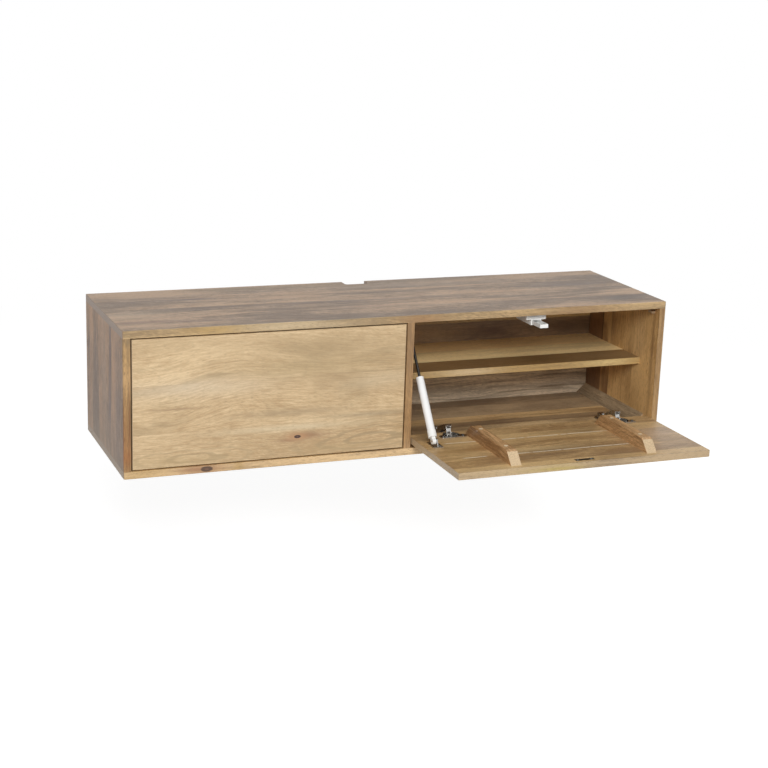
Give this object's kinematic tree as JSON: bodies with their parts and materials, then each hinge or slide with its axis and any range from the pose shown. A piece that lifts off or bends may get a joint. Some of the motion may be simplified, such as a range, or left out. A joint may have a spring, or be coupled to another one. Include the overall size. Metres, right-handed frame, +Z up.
{
  "type": "floating media console",
  "caption": "Wall-hung timber media console with two drop-down doors on cup hinges and damping struts, shelves, push latches and a rear cable notch.",
  "frame": {"origin": "middle of the line of wall-fixing holes, at the wall", "axes": "+X along the console to the right seen from the front, +Y back into the wall, +Z up"},
  "size_m": [1.2, 0.594, 0.3],
  "materials": {
    "top_timber": "satin oiled",
    "case_timber": "satin oiled",
    "back_timber": "satin oiled",
    "rail_timber": "planed, unfinished",
    "stop_timber": "planed, unfinished",
    "door_timber": "satin oiled",
    "nickel": "bright nickel plate",
    "screw_steel": "zinc plated",
    "dark_steel": "dark polished",
    "white_enamel": "white gloss enamel",
    "white_plastic": "white moulded",
    "magnet": "plated magnet"
  },
  "bodies": {
    "carcass": {"top_panel": "top_timber", "bottom_panel": "case_timber", "left_side_panel": "case_timber", "right_side_panel": "case_timber", "centre_divider": "case_timber", "back_panel": "back_timber", "left_hanging_rail": "rail_timber", "left_shelf": "case_timber", "left_corner_strip": "case_timber", "left_door_stops": "stop_timber", "left_case_screws": "screw_steel", "left_hinge_plates": "nickel", "left_hinge_arms": "nickel", "left_hinge_arm_screws": "nickel", "left_strut_wall_bracket": "white_plastic", "left_latch_housing": "white_plastic", "right_hanging_rail": "rail_timber", "right_shelf": "case_timber", "right_corner_strip": "case_timber", "right_door_stops": "stop_timber", "right_case_screws": "screw_steel", "right_hinge_plates": "nickel", "right_hinge_arms": "nickel", "right_hinge_arm_screws": "nickel", "right_strut_wall_bracket": "white_plastic", "right_latch_housing": "white_plastic"},
    "left_door": {"left_door_panel": "door_timber", "left_batten_a": "door_timber", "left_batten_b": "door_timber", "left_batten_screws": "screw_steel", "left_batten_plugs": "door_timber", "left_door_screws": "screw_steel", "left_strike_plate": "dark_steel", "left_hinge_cups": "nickel", "left_strut_door_bracket": "nickel"},
    "left_outer_link_pair": {"left_outer_links": "nickel"},
    "left_inner_link_pair": {"left_inner_links": "nickel"},
    "left_strut_cylinder_body": {"left_strut_cylinder": "white_enamel", "left_strut_foot": "white_plastic"},
    "left_strut_rod_body": {"left_strut_rod": "dark_steel"},
    "left_latch_plunger_body": {"left_latch_plunger": "white_plastic", "left_latch_magnet": "magnet"},
    "right_door": {"right_door_panel": "door_timber", "right_batten_a": "door_timber", "right_batten_b": "door_timber", "right_batten_screws": "screw_steel", "right_batten_plugs": "door_timber", "right_door_screws": "screw_steel", "right_strike_plate": "dark_steel", "right_hinge_cups": "nickel", "right_strut_door_bracket": "nickel"},
    "right_outer_link_pair": {"right_outer_links": "nickel"},
    "right_inner_link_pair": {"right_inner_links": "nickel"},
    "right_strut_cylinder_body": {"right_strut_cylinder": "white_enamel", "right_strut_foot": "white_plastic"},
    "right_strut_rod_body": {"right_strut_rod": "dark_steel"},
    "right_latch_plunger_body": {"right_latch_plunger": "white_plastic", "right_latch_magnet": "magnet"}
  },
  "joints": [
    {"name": "left_door_hinge", "type": "hinge", "parent": "carcass", "child": "left_door", "pos_m": [-0.29625, -0.342, -0.225], "axis": [1, 0, 0], "range_deg": [-0.6, 90]},
    {"name": "left_outer_link_turn", "type": "hinge", "parent": "carcass", "child": "left_outer_link_pair", "pos_m": [-0.29625, -0.333, -0.206], "axis": [1, 0, 0], "range_deg": [-0.24, 6.05]},
    {"name": "left_inner_link_turn", "type": "hinge", "parent": "carcass", "child": "left_inner_link_pair", "pos_m": [-0.29625, -0.324, -0.21], "axis": [1, 0, 0], "range_deg": [-20.35, 0.33]},
    {"name": "left_strut_foot_pivot", "type": "hinge", "parent": "left_door", "child": "left_strut_cylinder_body", "pos_m": [-0.56225, -0.323, -0.14801], "axis": [1, 0, 0], "range_deg": [-105.42, 0.9]},
    {"name": "left_strut_slide", "type": "slide", "parent": "left_strut_cylinder_body", "child": "left_strut_rod_body", "axis": [0, 0.3758, 0.9267], "range_m": [-0.00086, 0.09899]},
    {"name": "left_latch_slide", "type": "slide", "parent": "carcass", "child": "left_latch_plunger_body", "axis": [0, -1, 0], "range_m": [-0.00043, 0.0347]},
    {"name": "right_door_hinge", "type": "hinge", "parent": "carcass", "child": "right_door", "pos_m": [0.29625, -0.342, -0.225], "axis": [1, 0, 0], "range_deg": [-90.6, 0]},
    {"name": "right_outer_link_turn", "type": "hinge", "parent": "carcass", "child": "right_outer_link_pair", "pos_m": [0.29625, -0.333, -0.206], "axis": [1, 0, 0], "range_deg": [-6.09, 0.2]},
    {"name": "right_inner_link_turn", "type": "hinge", "parent": "carcass", "child": "right_inner_link_pair", "pos_m": [0.29625, -0.324, -0.21], "axis": [1, 0, 0], "range_deg": [-0.2, 20.49]},
    {"name": "right_strut_foot_pivot", "type": "hinge", "parent": "right_door", "child": "right_strut_cylinder_body", "pos_m": [0.03025, -0.41899, -0.206], "axis": [1, 0, 0], "range_deg": [-0.2, 106.12]},
    {"name": "right_strut_slide", "type": "slide", "parent": "right_strut_cylinder_body", "child": "right_strut_rod_body", "axis": [0, 0.6059, 0.7955], "range_m": [-0.09965, 0.0002]},
    {"name": "right_latch_slide", "type": "slide", "parent": "carcass", "child": "right_latch_plunger_body", "axis": [0, -1, 0], "range_m": [-0.03493, 0.0002]}
  ],
  "couplings": [
    {"joint": "left_outer_link_turn", "follows": "left_door_hinge", "ratio": 0.064963},
    {"joint": "left_inner_link_turn", "follows": "left_door_hinge", "ratio": -0.22393},
    {"joint": "left_strut_foot_pivot", "follows": "left_door_hinge", "ratio": -1.1691},
    {"joint": "left_strut_slide", "follows": "left_door_hinge", "m_per_rad": 0.062893},
    {"joint": "left_latch_slide", "follows": "left_door_hinge", "m_per_rad": 0.021963},
    {"joint": "right_outer_link_turn", "follows": "right_door_hinge", "ratio": 0.064963},
    {"joint": "right_inner_link_turn", "follows": "right_door_hinge", "ratio": -0.22393},
    {"joint": "right_strut_foot_pivot", "follows": "right_door_hinge", "ratio": -1.1691},
    {"joint": "right_strut_slide", "follows": "right_door_hinge", "m_per_rad": 0.062893},
    {"joint": "right_latch_slide", "follows": "right_door_hinge", "m_per_rad": 0.021963}
  ]
}
